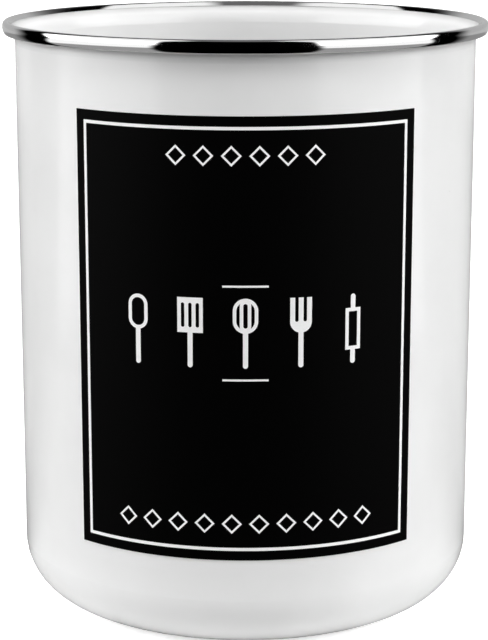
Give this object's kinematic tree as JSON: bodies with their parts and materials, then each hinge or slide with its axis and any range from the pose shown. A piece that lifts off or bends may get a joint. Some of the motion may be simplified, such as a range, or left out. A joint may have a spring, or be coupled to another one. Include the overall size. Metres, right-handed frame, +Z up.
{
  "type": "utensil holder",
  "caption": "Straight round enamelled steel pot, open at the top, with a rounded foot corner, a polished steel rim band and a framed front label, for standing kitchen tools in.",
  "frame": {"origin": "centre of the foot face, on the pot's axis", "axes": "+Z up along the pot's axis, -Y towards the label"},
  "size_m": [0.1316, 0.1316, 0.16],
  "materials": {
    "drawn_steel": "bare drawn steel sheet, hidden under the enamel",
    "white_enamel": "glossy white vitreous enamel, fired on steel",
    "polished_stainless": "mirror-polished stainless steel strip",
    "black_print": "fired black print, smooth and slightly glossy",
    "white_print": "fired white print"
  },
  "bodies": {
    "root": {"steel_shell": "drawn_steel", "enamel_outside": "white_enamel", "enamel_inside": "white_enamel", "rim_band": "polished_stainless", "label_panel": "black_print", "label_frame": "white_print", "print_spoon": "white_print", "print_turner": "white_print", "print_whisk": "white_print", "print_fork": "white_print", "print_rolling_pin": "white_print", "rule_upper": "white_print", "rule_lower": "white_print", "ornament_top": "white_print", "ornament_bottom": "white_print"}
  },
  "joints": []
}
